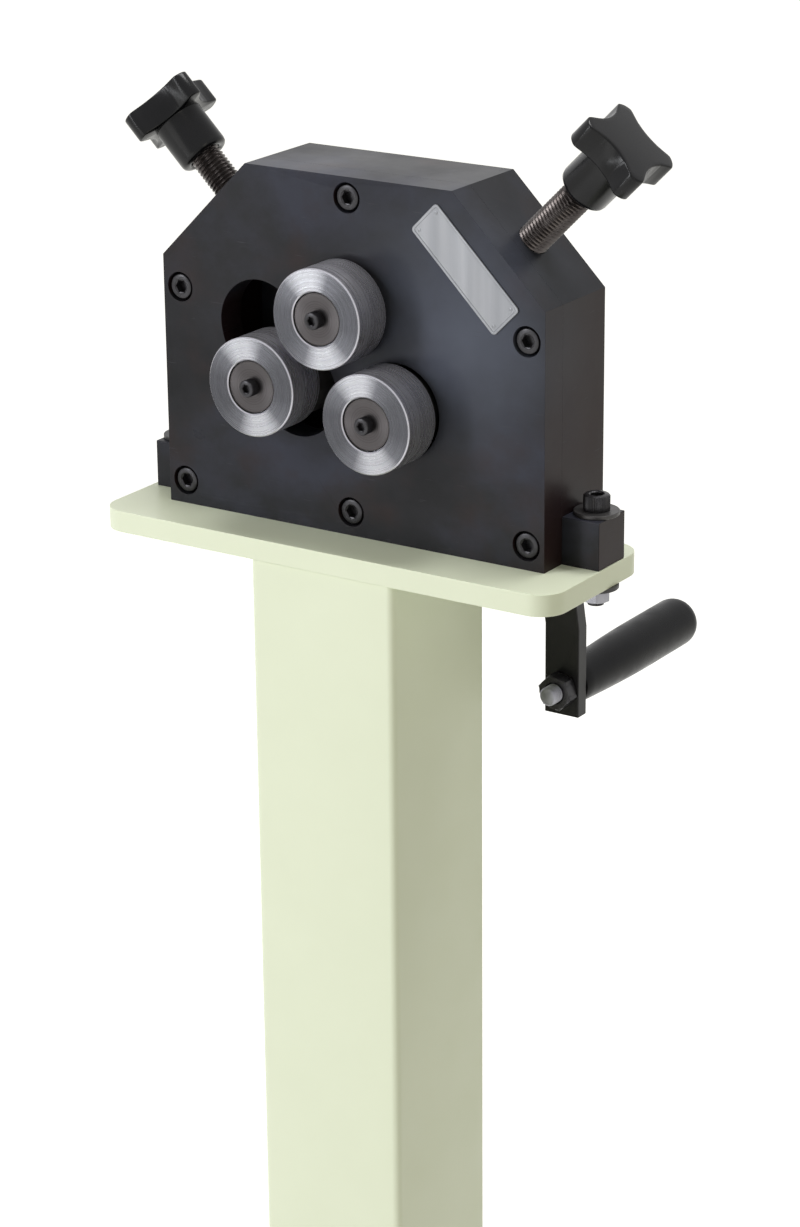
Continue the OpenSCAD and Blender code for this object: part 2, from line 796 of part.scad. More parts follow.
module crank_grip() {
    // Radii along the grip as shares of the largest, at shares of its length
    waist_share = 0.9;
    round_share = 0.78;
    swell_at_share = 0.5;
    round_at_share = 0.96;
    bore = grip_bolt_r + run_gap;
    head = m10_head_r + side_gap;
    color("black") in_head() translate([crank_x, grip_y0, grip_z]) rotate([-90, 0, 0])
        rotate_extrude() polygon([[bore, 0], [grip_r * waist_share, 0],
            [grip_r, grip_len * swell_at_share], [grip_r, grip_len * round_at_share],
            [grip_r * round_share, grip_len], [head, grip_len],
            [head, grip_len - m10_head_h - side_gap], [bore, grip_len - m10_head_h - side_gap]]);
}

// Slot for a cross pin: along the line from (x0, z0) to (x1, z1), through both cheeks
module pin_slot(x0, z0, x1, z1) {
    slab(arm_y0 - over, arm_y1 + over) link([x0, z0], arm_slot_r, [x1, z1], arm_slot_r);
}

module left_arm() {
    far = (pin_far + arm_slot_r + cheek_t) / sqrt(2);
    near = screw_offset / sqrt(2);
    color("slategray") in_head() difference() {
        union() {
            rod(0, axis_h, hub_r, arm_y0, arm_y1);
            slab(arm_y0, cheek_y0) link([0, axis_h], hub_r, [left_x, left_z], left_boss_r);
            slab(cheek_y1, arm_y1) link([0, axis_h], hub_r, [-far, axis_h - far], pivot_tube_r);
            rod(left_x, left_z, left_boss_r, boss_y0, cheek_y0);
        }
        rod(0, axis_h, bush_out_r + run_gap, arm_y0 - over, arm_y1 + over);
        rod(left_x, left_z, axle_r + seat_gap, boss_y0 - over, cheek_y0 + over);
        pin_slot(-near, axis_h - near, -pin_far / sqrt(2), axis_h - pin_far / sqrt(2));
    }
}

module right_arm() {
    pin_boss_r = arm_slot_r + cheek_t + over;
    color("slategray") in_head() difference() {
        union() {
            rod(pivot_x, pivot_z, pivot_tube_r, arm_y0, arm_y1);
            slab(arm_y0, cheek_y0)
                link([pivot_x, pivot_z], pivot_tube_r, [right_x, right_z], right_boss_r);
            slab(arm_y0, cheek_y0)
                link([pivot_x, pivot_z], pivot_tube_r, [right_pin_x, right_pin_z], pin_boss_r);
            slab(cheek_y1, arm_y1)
                link([pivot_x, pivot_z], pivot_tube_r, [right_pin_x, right_pin_z], pin_boss_r);
            rod(right_x, right_z, right_boss_r, boss_y0, cheek_y0);
        }
        rod(pivot_x, pivot_z, pivot_pin_r + run_gap, arm_y0 - over, arm_y1 + over);
        rod(right_x, right_z, axle_r + seat_gap, boss_y0 - over, cheek_y0 + over);
        rod(right_pin_x, right_pin_z, arm_slot_r, arm_y0 - over, arm_y1 + over);
    }
}

module axle(x, z) {
    color("silver") in_head() difference() {
        rod(x, z, axle_r, axle_y0, cheek_y0);
        rod(x, z, m5_r + run_gap, axle_y0 - over, axle_y0 + m5_len);
    }
}

module idle_roller(x, z) {
    color("silver") in_head() roller_body(x, z, axle_r + bush_wall + seat_gap);
}

module idle_bush(x, z) {
    color("peru") in_head() bush(x, z, axle_r + run_gap, axle_r + bush_wall, recess_y, roller_y1);
}

module swivel_block(side) {
    color("slategray") on_screw(side) difference() {
        translate([-block_half, -block_half, -block_tail])
            cube([2 * block_half, 2 * block_half, block_tail + block_nose]);
        rotate([90, 0, 0]) cylinder(r = cross_pin_r + seat_gap, h = 4 * block_half, center = true);
        translate([0, 0, neck_start]) cylinder(r = neck_r + run_gap, h = block_nose);
        for (sx = [-1, 1]) translate([sx * neck_r, 0, groove_at]) rotate([90, 0, 0])
            cylinder(r = retainer_r + seat_gap, h = 4 * block_half, center = true);
    }
}

module swivel_pin(side) {
    len = pocket_d - 2 * side_gap - over;
    color("silver") on_screw(side) rotate([90, 0, 0])
        cylinder(r = cross_pin_r, h = len, center = true);
}

module retaining_pins(side) {
    color("silver") on_screw(side) for (sx = [-1, 1])
        translate([sx * neck_r, 0, groove_at]) rotate([90, 0, 0])
            cylinder(r = retainer_r, h = 2 * block_half, center = true);
}

// Height of a knob's underside over the cross pin, along the screw
function knob_at(side) = side < 0 ? left_pin_depth + left_stickout : right_pin_depth + right_stickout;

module adjusting_screw(side) {
    z0 = neck_start + neck_step;
    shoulder = block_nose + neck_step;
    color("dimgray") on_screw(side) difference() {
        union() {
            translate([0, 0, z0]) cylinder(r = neck_r, h = block_nose);
            translate([0, 0, shoulder])
                cylinder(r = screw_r, h = knob_at(side) + knob_bore_len - shoulder - over);
        }
        translate([0, 0, groove_at - groove_w / 2]) difference() {
            cylinder(r = neck_r + over, h = groove_w);
            translate([0, 0, -over]) cylinder(r = groove_r, h = groove_w + 2 * over);
        }
    }
}

// Outline of a star knob's four arms
module star_outline() {
    r = knob_d / 2;
    difference() {
        circle(r = r);
        for (a = [45:90:315]) rotate([0, 0, a])
            translate([r * knob_cut_at_share, 0]) circle(r = r * knob_cut_r_share);
    }
}

module star_knob(side) {
    color("black") on_screw(side) translate([0, 0, knob_at(side)]) difference() {
        union() {
            cylinder(r = knob_hub_r, h = knob_h);
            translate([0, 0, knob_h - knob_arm_h]) linear_extrude(height = knob_arm_h)
                rotate([0, 0, side < 0 ? left_knob_phase : right_knob_phase]) star_outline();
        }
        translate([0, 0, -over]) cylinder(r = screw_r + seat_gap, h = knob_bore_len + over);
    }
}

foot_plate();
post_tube();
top_plate();
body_casing();
front_plate();
lug(-1);  // left_lug
lug(1);  // right_lug
lug_bolts();
lug_washers();
lug_nuts();
front_plate_screws();
badge_plate();
gear_case();
gear_cover();
cover_screws();
top_front_bush();
top_rear_bush();
top_cover_bush();
crank_front_bush();
crank_rear_bush();
pinch_pivot_pin();
top_shaft();
top_roller();
top_roller_key();
roller_washer(0, axis_h);  // top_roller_washer
roller_screw(0, axis_h);  // top_roller_screw
drive_gear();
drive_gear_key();
crank_shaft();
crank_pinion();
pinion_key();
crank_arm();
crank_washer();
crank_screw();
grip_bolt();
grip_nut();
crank_grip();
left_arm();
axle(left_x, left_z);  // left_axle
roller_washer(left_x, left_z);  // left_roller_washer
roller_screw(left_x, left_z);  // left_roller_screw
idle_roller(left_x, left_z);  // left_roller
idle_bush(left_x, left_z);  // left_roller_bush
swivel_block(-1);  // left_swivel_block
swivel_pin(-1);  // left_swivel_pin
retaining_pins(-1);  // left_retaining_pins
adjusting_screw(-1);  // left_screw
star_knob(-1);  // left_knob
right_arm();
axle(right_x, right_z);  // right_axle
roller_washer(right_x, right_z);  // right_roller_washer
roller_screw(right_x, right_z);  // right_roller_screw
idle_roller(right_x, right_z);  // right_roller
idle_bush(right_x, right_z);  // right_roller_bush
swivel_block(1);  // right_swivel_block
swivel_pin(1);  // right_swivel_pin
retaining_pins(1);  // right_retaining_pins
adjusting_screw(1);  // right_screw
star_knob(1);  // right_knob
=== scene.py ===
import json
import math

import bmesh
import bpy
from mathutils import Matrix, Vector


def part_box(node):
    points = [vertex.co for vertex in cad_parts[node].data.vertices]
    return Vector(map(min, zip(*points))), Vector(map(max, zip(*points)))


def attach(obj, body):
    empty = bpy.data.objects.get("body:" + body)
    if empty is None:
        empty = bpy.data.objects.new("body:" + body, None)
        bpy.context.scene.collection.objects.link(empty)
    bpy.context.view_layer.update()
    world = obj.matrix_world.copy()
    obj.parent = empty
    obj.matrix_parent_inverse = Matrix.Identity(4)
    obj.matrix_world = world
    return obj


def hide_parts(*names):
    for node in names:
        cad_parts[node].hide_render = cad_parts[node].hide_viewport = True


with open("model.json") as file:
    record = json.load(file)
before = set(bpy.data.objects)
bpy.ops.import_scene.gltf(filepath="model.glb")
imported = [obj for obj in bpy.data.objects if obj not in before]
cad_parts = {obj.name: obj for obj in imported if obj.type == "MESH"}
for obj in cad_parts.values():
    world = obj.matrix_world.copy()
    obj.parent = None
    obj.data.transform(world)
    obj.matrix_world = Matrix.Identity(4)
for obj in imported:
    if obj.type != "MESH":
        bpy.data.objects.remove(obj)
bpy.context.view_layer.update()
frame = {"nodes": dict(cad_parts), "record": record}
nodes = frame["nodes"]
record = frame["record"]
body_of = {n: b for b, names in record["behaviour"]["bodies"].items() for n in names}
slot_of = {s["node"]: s["material_slot"] for s in record["subparts"]}
MM = 0.001
Y, Z = Vector((0, 1, 0)), Vector((0, 0, 1))
DIAGONAL = math.sqrt(0.5)

# Sockets of the colour mix node
FACTOR, COLOUR_A, COLOUR_B, MIXED_COLOUR = 0, 6, 7, 2
# Noise hardly leaves this band, so ramps and ranges run between its ends
NOISE_LOW, NOISE_HIGH = 0.3, 0.7


# Materials

class Shader:
    """A principled material whose colour, roughness and bump are built up node by node."""

    def __init__(self, name, roughness, metallic=0.0, **inputs):
        self.mat = bpy.data.materials.new(name)
        self.mat.use_nodes = True
        self.tree = self.mat.node_tree
        self.bsdf = self.tree.nodes["Principled BSDF"]
        self.bsdf.inputs["Roughness"].default_value = roughness
        self.bsdf.inputs["Metallic"].default_value = metallic
        for key, value in inputs.items():
            self.bsdf.inputs[key.replace("_", " ")].default_value = value
        coordinates = self.node("ShaderNodeTexCoord")
        self.place, self.facing = coordinates.outputs["Object"], coordinates.outputs["Normal"]
        self.normal = None

    def node(self, kind, **settings):
        n = self.tree.nodes.new(kind)
        for key, value in settings.items():
            setattr(n, key, value)
        return n

    def link(self, a, b):
        self.tree.links.new(a, b)

    def put(self, value, socket):
        """Links value to socket where it is a socket too, and otherwise sets it there as it is."""
        if isinstance(value, bpy.types.NodeSocket):
            self.link(value, socket)
        elif value is not None:
            socket.default_value = value

    def math(self, operation, a, b=None, c=None):
        n = self.node("ShaderNodeMath", operation=operation)
        for value, socket in zip((a, b, c), n.inputs):
            self.put(value, socket)
        return n.outputs[0]

    def vector_math(self, operation, a, b=None):
        n = self.node("ShaderNodeVectorMath", operation=operation)
        self.put(a, n.inputs[0])
        self.put(b, n.inputs[1])
        return n.outputs["Value" if operation in ("LENGTH", "DISTANCE") else "Vector"]

    def split(self, vector):
        n = self.node("ShaderNodeSeparateXYZ")
        self.link(vector, n.inputs[0])
        return n.outputs

    def combine(self, x, y):
        n = self.node("ShaderNodeCombineXYZ")
        self.link(x, n.inputs["X"])
        self.link(y, n.inputs["Y"])
        return n.outputs[0]

    def map_range(self, fac, from_min, from_max, to_min=0.0, to_max=1.0, **settings):
        n = self.node("ShaderNodeMapRange", **settings)
        for key, value in (("Value", fac), ("From Min", from_min), ("From Max", from_max),
                           ("To Min", to_min), ("To Max", to_max)):
            self.put(value, n.inputs[key])
        return n.outputs["Result"]

    def stretched(self, scale):
        mapping = self.node("ShaderNodeMapping")
        mapping.inputs["Scale"].default_value = scale
        self.link(self.place, mapping.inputs["Vector"])
        return mapping.outputs["Vector"]

    def noise(self, scale, detail=4.0, stretch=(1, 1, 1)):
        n = self.node("ShaderNodeTexNoise")
        n.inputs["Scale"].default_value = scale
        n.inputs["Detail"].default_value = detail
        n.inputs["Roughness"].default_value = 0.55
        self.link(self.stretched(stretch), n.inputs["Vector"])
        return n.outputs["Fac"]

    def ramp(self, fac, stops):
        n = self.node("ShaderNodeValToRGB")
        while len(n.color_ramp.elements) < len(stops):
            n.color_ramp.elements.new(0.5)
        for element, (at, colour) in zip(n.color_ramp.elements, stops):
            element.position = at
            element.color = (*colour, 1)
        self.link(fac, n.inputs["Fac"])
        return n.outputs["Color"]

    def tones(self, fac, low, high):
        """Runs from one colour to the other over the noise's band."""
        return self.ramp(fac, [(NOISE_LOW, low), (NOISE_HIGH, high)])

    def mask(self, fac, start, stop, most):
        """Black up to start, rising to a grey of most at stop."""
        return self.ramp(fac, [(start, (0, 0, 0)), (stop, (most, most, most))])

    def mix(self, fac, a, b, kind="MIX"):
        n = self.node("ShaderNodeMix", data_type="RGBA", blend_type=kind)
        self.put(fac, n.inputs[FACTOR])
        for colour, at in ((a, COLOUR_A), (b, COLOUR_B)):
            self.put((*colour, 1) if isinstance(colour, tuple) else colour, n.inputs[at])
        return n.outputs[MIXED_COLOUR]

    def colour(self, socket):
        self.link(socket, self.bsdf.inputs["Base Color"])

    def rough(self, fac, low, high):
        self.link(self.map_range(fac, NOISE_LOW, NOISE_HIGH, low, high), self.bsdf.inputs["Roughness"])

    def bump(self, height, strength, distance):
        n = self.node("ShaderNodeBump")
        n.inputs["Strength"].default_value = strength
        n.inputs["Distance"].default_value = distance
        self.link(height, n.inputs["Height"])
        if self.normal is not None:
            self.link(self.normal, n.inputs["Normal"])
        self.normal = n.outputs["Normal"]
        self.link(self.normal, self.bsdf.inputs["Normal"])


def painted(name, low, high, roughness, scale=14, shine=0.5):
    """Paint: a slow change of tone, fine orange peel and a varying gloss."""
    s = Shader(name, roughness, Specular_IOR_Level=shine)
    s.colour(s.tones(s.noise(scale), low, high))
    s.rough(s.noise(scale * 3), roughness * 0.85, roughness * 1.2)
    s.bump(s.noise(900, 2), 0.05, 0.0002)
    return s.mat


def middle(node):
    """The middle of a CAD node's box."""
    low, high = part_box(node)
    return (low + high) / 2


def blued_steel(name, tint, roughness, painted_sheen_at, painted_sheen_reach):
    """Blackened steel plate: cloudy oil-blue tone, brown stains, darker browner sides as painted shade, a
    paler patch of painted sheen and fine scratches.
    """
    s = Shader(name, roughness, Specular_IOR_Level=0.12)

    def toned(*shares):
        return tuple(share * c for share, c in zip(shares, tint))
    tone = s.ramp(s.noise(13, 6, (1, 1, 1.3)), [(0.36, toned(0.6, 0.6, 0.6)), (0.5, tint),
                                               (0.66, toned(1.7, 1.8, 2.2))])
    tone = s.mix(s.mask(s.noise(26, 5), 0.52, 0.70, 0.7), tone, toned(1.45, 1.0, 0.85))
    # Painted shade: the faces that look along X take a darker, browner tone than the front
    side_shade_mask = s.math("ABSOLUTE", s.split(s.facing)["X"])
    tone = s.mix(s.mask(side_shade_mask, 0.75, 0.95, 0.8), tone, toned(1.05, 0.5, 0.4))
    # Painted sheen: a paler, bluer patch round a point beside the blank plate, broken up by noise
    painted_sheen_share = s.map_range(s.vector_math("DISTANCE", s.place, painted_sheen_at), painted_sheen_reach, 0.0,
                       interpolation_type="SMOOTHSTEP")
    uneven = s.tones(s.noise(16, 5), (0.45, 0.45, 0.45), (1, 1, 1))
    tone = s.mix(s.math("MULTIPLY", painted_sheen_share, uneven), tone, toned(4.4, 4.9, 5.6))
    scratch = s.mask(s.noise(60, 2, (1, 1, 16)), 0.71, 0.76, 0.35)
    s.colour(s.mix(scratch, tone, toned(3.2, 3.2, 3.2)))
    s.rough(s.noise(22, 5), roughness * 0.8, roughness * 1.25)
    s.bump(s.noise(240, 4, (1, 1, 3)), 0.10, 0.0002)
    s.bump(s.noise(18, 3), 0.05, 0.002)
    return s.mat


def machined(name, low, high, roughness, metallic=1.0, scale=60, stretch=(1, 1, 1)):
    """Machined metal: tool marks along one way and a slightly uneven tone."""
    s = Shader(name, roughness, metallic)
    s.colour(s.tones(s.noise(scale, 4, stretch), low, high))
    s.rough(s.noise(scale * 2, 3, stretch), roughness * 0.8, roughness * 1.25)
    s.bump(s.noise(scale * 8, 2, stretch), 0.06, 0.0001)
    return s.mat


def turned(name, low, high, roughness, centre, painted_glare_angle=None):
    """Lathe-turned metal round an axis along Y through centre: fine rings in tone, gloss and height.

    Given an angle in degrees, the front face's colour also carries a painted highlight and shade: the bow
    tie of bright and dark sectors of a turned face's glare, fixed on the part so it turns with it, while the
    other faces take a lighter share of the tone.
    """
    s = Shader(name, roughness, 0.78 if painted_glare_angle else 1.0, Anisotropic=0.0 if painted_glare_angle else 0.55)
    at = s.split(s.vector_math("SUBTRACT", s.place, centre))
    lane = s.combine(s.vector_math("LENGTH", s.combine(at["X"], at["Z"])), at["Y"])

    def rings(scale, detail):
        n = s.node("ShaderNodeTexNoise")
        n.inputs["Scale"].default_value = scale
        n.inputs["Detail"].default_value = detail
        s.link(lane, n.inputs["Vector"])
        return n.outputs["Fac"]

    tone = s.tones(rings(900, 3), low, high)
    tone = s.mix(s.mask(s.noise(55, 4), 0.5, 0.8, 0.4), tone, tuple(0.7 * c for c in low))
    if painted_glare_angle:
        # Painted highlight and shade on the front face: bright and dark sectors round the axis, a turned
        # face's glare fixed in the colour; the other faces take the tone lifted by the rim shares
        twice = s.math("MULTIPLY_ADD", s.math("ARCTAN2", at["Z"], at["X"]), 2.0, math.radians(painted_glare_angle))
        glare_wave = s.math("MULTIPLY_ADD", s.math("COSINE", twice), 0.5, 0.5)
        front = s.math("LESS_THAN", s.split(s.facing)["Y"], -0.9)
        painted_glare_fan = s.ramp(glare_wave, [(0.15, (0.17, 0.17, 0.18)), (0.68, (0.30, 0.30, 0.315)), (0.97, (1, 1, 1))])
        rim = (1.45, 1.42, 1.46)
        tone = s.mix(1.0, tone, s.mix(front, rim, painted_glare_fan), "MULTIPLY")
    else:
        tangent = s.node("ShaderNodeTangent", direction_type="RADIAL", axis="Y")
        s.link(tangent.outputs["Tangent"], s.bsdf.inputs["Tangent"])
    s.colour(tone)
    s.rough(rings(600, 2), roughness * 0.75, roughness * 1.3)
    s.bump(rings(1500, 2), 0.10, 0.00004)
    return s.mat


def plastic(name, low, high, roughness, shine):
    """Moulded plastic with a slightly uneven gloss."""
    s = Shader(name, roughness, Specular_IOR_Level=shine)
    s.colour(s.tones(s.noise(60), low, high))
    s.rough(s.noise(90, 3), roughness * 0.8, roughness * 1.3)
    s.bump(s.noise(400, 2), 0.04, 0.0001)
    return s.mat


# Place and reach of the painted sheen, a paler patch beside the blank plate
painted_sheen_at = middle("front_plate") + Vector((0.060, -0.008, 0.020))
painted_sheen_reach = 0.085

M = {
    "stand_paint": painted("pale_green_paint", (0.765, 0.815, 0.64), (0.79, 0.84, 0.665), 0.38),
    "head_finish": blued_steel("blued_plate", (0.019, 0.019, 0.0225), 0.33, painted_sheen_at, painted_sheen_reach),
    "black_bolts": machined("black_oxide", (0.016, 0.015, 0.017), (0.032, 0.031, 0.036), 0.34, 0.5, 300),
    "zinc": machined("zinc_plate", (0.21, 0.21, 0.235), (0.32, 0.32, 0.345), 0.40, 1.0, 120),
    "badge": machined("plain_plate", (0.20, 0.205, 0.22), (0.27, 0.275, 0.29), 0.45, 0.8, 220, (1, 1, 0.04)),
    "bronze": machined("bronze", (0.42, 0.27, 0.12), (0.55, 0.37, 0.18), 0.35),
    "shaft_steel": machined("ground_steel", (0.38, 0.38, 0.40), (0.55, 0.55, 0.58), 0.28),
    "arm_steel": machined("dark_arm", (0.035, 0.034, 0.035), (0.07, 0.066, 0.066), 0.42, 0.5),
    "screw_steel": machined("thread_steel", (0.045, 0.038, 0.036), (0.11, 0.098, 0.095), 0.30, 0.9, 160),
    "black_paint": painted("black_paint", (0.006, 0.006, 0.007), (0.012, 0.011, 0.012), 0.34, 30, 0.25),
    "black_plastic": plastic("black_plastic", (0.003, 0.003, 0.004), (0.006, 0.006, 0.007), 0.20, 0.20),
    "grip_plastic": plastic("grip_plastic", (0.0025, 0.0025, 0.003), (0.005, 0.005, 0.006), 0.30, 0.12),
}


# Shapes

def bases(axis):
    """Two unit vectors square to axis that make a right-handed frame with it."""
    a = axis.normalized()
    u = (Y if abs(a.dot(Y)) < 0.9 else Z).cross(a).normalized()
    return u, a.cross(u), a


def piece(name, bm, material, stands_for, smooth=35, bevel=0.0, segments=2):
    """Turns bm into an object that stands for CAD nodes and rides with their body."""
    mesh = bpy.data.meshes.new(name)
    bmesh.ops.remove_doubles(bm, verts=bm.verts, dist=1e-7)
    bmesh.ops.recalc_face_normals(bm, faces=bm.faces)
    bm.to_mesh(mesh)
    bm.free()
    mesh.materials.append(material)
    mesh.shade_smooth()
    mesh.set_sharp_from_angle(angle=math.radians(smooth))
    ob = bpy.data.objects.new(name, mesh)
    bpy.context.scene.collection.objects.link(ob)
    if bevel:
        mod = ob.modifiers.new("edges", "BEVEL")
        mod.width = bevel
        mod.segments = segments
        mod.limit_method = "ANGLE"
        mod.angle_limit = math.radians(38)
        mod.harden_normals = True
    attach(ob, body_of[stands_for[0]])
    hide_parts(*stands_for)
    return ob


def eased(node, width, segments=2):
    """A copy of a CAD node's mesh with its edges broken, as on a machined plate."""
    bm = bmesh.new()
    bm.from_mesh(nodes[node].data)
    bmesh.ops.remove_doubles(bm, verts=bm.verts, dist=1e-6)
    bmesh.ops.dissolve_limit(bm, angle_limit=math.radians(0.3), verts=bm.verts, edges=bm.edges)
    piece(node + "_eased", bm, M[slot_of[node]], [node], bevel=width * MM, segments=segments)


def ring_of(bm, centre, u, v, a, radius, at, count, shape=None):
    """A ring of vertices round centre, at a distance along the axis a."""
    out = []
    for k in range(count):
        t = 2 * math.pi * k / count
        r = shape(t) if shape else radius
        out.append(bm.verts.new(centre + a * at + (u * math.cos(t) + v * math.sin(t)) * r))
    return out


def join(bm, p, q):
    """Faces between two rings of as many vertices."""
    n = len(p)
    for k in range(n):
        bm.faces.new((p[k], p[(k + 1) % n], q[(k + 1) % n], q[k]))


def hexagon(across):
    """Radius of a hexagon's outline at an angle, with a corner at zero."""
    sixth = math.pi / 3
    return lambda t: across / 2 / math.cos((t % sixth) - sixth / 2)


def lathe(bm, centre, axis, profile, count=96, caps=(False, False), shapes=None):
    """Turns a profile of (radius, distance along the axis) in millimetres.

    A function in shapes, under a ring's number, gives that ring's radius at an angle instead.
    """
    u, v, a = bases(axis)
    rings = []
    for k, (r, t) in enumerate(profile):
        shape = (shapes or {}).get(k)
        rings.append(ring_of(bm, centre, u, v, a, r * MM, t * MM, count,
                             (lambda w, f=shape: f(w) * MM) if shape else None))
    for p, q in zip(rings, rings[1:]):
        join(bm, p, q)
    if caps[0]:
        bm.faces.new(rings[0][::-1])
    if caps[1]:
        bm.faces.new(rings[-1])


def span(node, origin, axis):
    """How far a CAD node reaches along an axis, from and to, in millimetres."""
    values = [(v.co - origin).dot(axis) / MM for v in nodes[node].data.vertices]
    return min(values), max(values)


def socket_screw(bm, centre, axis, head_r, head_h, across, shank_r, length, knurled=True):
    """A socket head cap screw; centre is under its head and axis points out of the head."""
    count = 96
    ease = head_r * 0.09
    knurl = 0.05 * head_r

    def edge(t):
        return head_r - (knurl if int(t / (2 * math.pi) * count + 0.5) % 2 else 0)
    depth = head_h * 0.55
    profile = [(shank_r, -length), (shank_r, 0), (head_r * 0.96, 0), (head_r, ease),
               (head_r, head_h - 1.6 * ease), (head_r - ease, head_h - 0.4 * ease),
               (head_r - 1.8 * ease, head_h),
               (across * 0.64, head_h), (across * 0.58, head_h - 0.35), (across / 2, head_h - 0.45),
               (across / 2, head_h - depth)]
    shapes = {9: hexagon(across), 10: hexagon(across)}
    if knurled:
        shapes.update({3: edge, 4: edge})
    lathe(bm, centre, axis, profile, count, (True, True), shapes)


def plain_washer(bm, centre, axis, inner, outer, thick, ease=0.3):
    lathe(bm, centre, axis, [(inner, ease), (inner, thick - ease), (inner + ease, thick),
                             (outer - ease, thick), (outer, thick - ease), (outer, ease),
                             (outer - ease, 0), (inner + ease, 0), (inner, ease)])


def hex_nut(bm, centre, axis, corner_r, bore, thick, turn=0.0):
    """A hexagonal nut with its corners turned off on both faces."""
    across = corner_r * math.sqrt(3)
    flat = across / 2
    plain, start = hexagon(across), math.radians(turn)
    cut = (corner_r - flat) * 0.55

    def full(t):
        return plain(t + start)

    def trimmed(t):
        return min(full(t), flat * 1.02)
    face, lead = 0.15, 0.8
    profile = [(bore, 0), (flat * 0.96, 0), (flat, face), (corner_r, cut), (corner_r, thick - cut),
               (flat, thick - face), (flat * 0.96, thick), (bore + lead, thick), (bore, thick - lead),
               (bore, 0)]
    lathe(bm, centre, axis, profile, 240, shapes={2: trimmed, 3: full, 4: full, 5: trimmed})


# Sizes of the cap screws in millimetres: head radius and height, hexagon across flats, shank radius
M8_SCREW = 6.5, 8, 6.0, 4
M5_SCREW = 4.25, 5, 4.0, 2.5
COVER_SCREW = 3.5, 2.5, 2.5, 2


# Plates, stand and arm: the CAD shapes with their edges broken
for node, width in (("front_plate", 0.5), ("body_casing", 0.7), ("left_lug", 0.6), ("right_lug", 0.6),
                    ("gear_case", 0.6), ("gear_cover", 0.6), ("left_arm", 0.5), ("right_arm", 0.5),
                    ("left_swivel_block", 0.5), ("right_swivel_block", 0.5)):
    eased(node, width)
for node, width in (("top_plate", 1.0), ("foot_plate", 1.0), ("crank_arm", 0.8)):
    eased(node, width, segments=3)
eased("post_tube", 0.4)

# Rollers: lathe-turned, with small chamfers at the rims and the recess
recess_r, recess, rim = 13.4, 4.3, 0.5
ease = 0.55
washer_bore_r = 2.6
roller_screw_len = 14
for side in ("top", "left", "right"):
    node = side + "_roller"
    low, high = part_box(node)
    centre = Vector(((low.x + high.x) / 2, high.y, (low.z + high.z) / 2))
    out_r = (high.x - low.x) / 2 / MM
    long = (high.y - low.y) / MM
    bore_r = 8.05 if side == "top" else 11.03
    bm = bmesh.new()
    lathe(bm, centre, -Y, [(bore_r, 0), (out_r - ease, 0), (out_r, ease), (out_r, long - ease),
                           (out_r - ease, long), (recess_r + rim, long), (recess_r, long - rim),
                           (recess_r, long - recess), (bore_r, long - recess), (bore_r, 0)], 128)
    # The rollers' steel has the painted highlight and shade fan on its front face, at 150 degrees
    steel = turned(side + "_turned_steel", (0.26, 0.26, 0.285), (0.40, 0.405, 0.43), 0.27, centre, 150)
    piece(side + "_roller_turned", bm, steel, [node])

    node = side + "_roller_washer"
    low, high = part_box(node)
    bm = bmesh.new()
    plain_washer(bm, Vector((centre.x, high.y, centre.z)), -Y, washer_bore_r,
                 (high.x - low.x) / 2 / MM, (high.y - low.y) / MM)
    dark = turned(side + "_dark_washer", (0.040, 0.036, 0.036), (0.075, 0.070, 0.072), 0.34, centre)
    piece(side + "_washer_turned", bm, dark, [node])

    bm = bmesh.new()
    socket_screw(bm, Vector((centre.x, low.y, centre.z)), -Y, *M5_SCREW, roller_screw_len)
    ob = piece(side + "_roller_screw_head", bm, M["black_bolts"], [side + "_roller_screw"])

# Six cap screws in the front plate's counterbores
plate_low, plate_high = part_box("front_plate")
mid_x = (plate_low.x + plate_high.x) / 2
from_side, from_top, seat, screw_len = 10, 10.2, 8.6, 27
heights = [12 * MM, 112 * MM]
half_w = (plate_high.x - plate_low.x) / 2 - from_side * MM
places = [(mid_x + s * half_w, plate_low.z + h) for s in (-1, 1) for h in heights]
places += [(mid_x, plate_low.z + heights[0]), (mid_x, plate_high.z - from_top * MM)]
bm = bmesh.new()
for x, z in places:
    socket_screw(bm, Vector((x, plate_low.y + seat * MM, z)), -Y, *M8_SCREW, screw_len)
piece("plate_cap_screws", bm, M["black_bolts"], ["front_plate_screws"])

# Lug bolts, their washers and the zinc nuts under the top plate
bolts, washers, nuts = bmesh.new(), bmesh.new(), bmesh.new()
washer_low, washer_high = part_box("lug_washers")
nut_low, nut_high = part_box("lug_nuts")
washer_r = (washer_high.y - washer_low.y) / 2
m8_bore_r, m8_nut_corner_r, washer_ease = 4.05, 7.5, 0.25
for lug, x in (("left_lug", washer_low.x + washer_r), ("right_lug", washer_high.x - washer_r)):
    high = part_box(lug)[1]
    y = (washer_low.y + washer_high.y) / 2
    socket_screw(bolts, Vector((x, y, washer_high.z)), Z, *M8_SCREW,
                 (washer_high.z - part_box("lug_bolts")[0].z) / MM)
    for z in (high.z, washer_low.z):
        plain_washer(washers, Vector((x, y, z)), Z, m8_bore_r, washer_r / MM,
                     (washer_high.z - high.z) / MM, washer_ease)
    hex_nut(nuts, Vector((x, y, nut_low.z)), Z, m8_nut_corner_r, m8_bore_r, (nut_high.z - nut_low.z) / MM)
piece("lug_cap_screws", bolts, M["black_bolts"], ["lug_bolts"])
piece("lug_plain_washers", washers, M["arm_steel"], ["lug_washers"])
piece("lug_hex_nuts", nuts, M["zinc"], ["lug_nuts"])

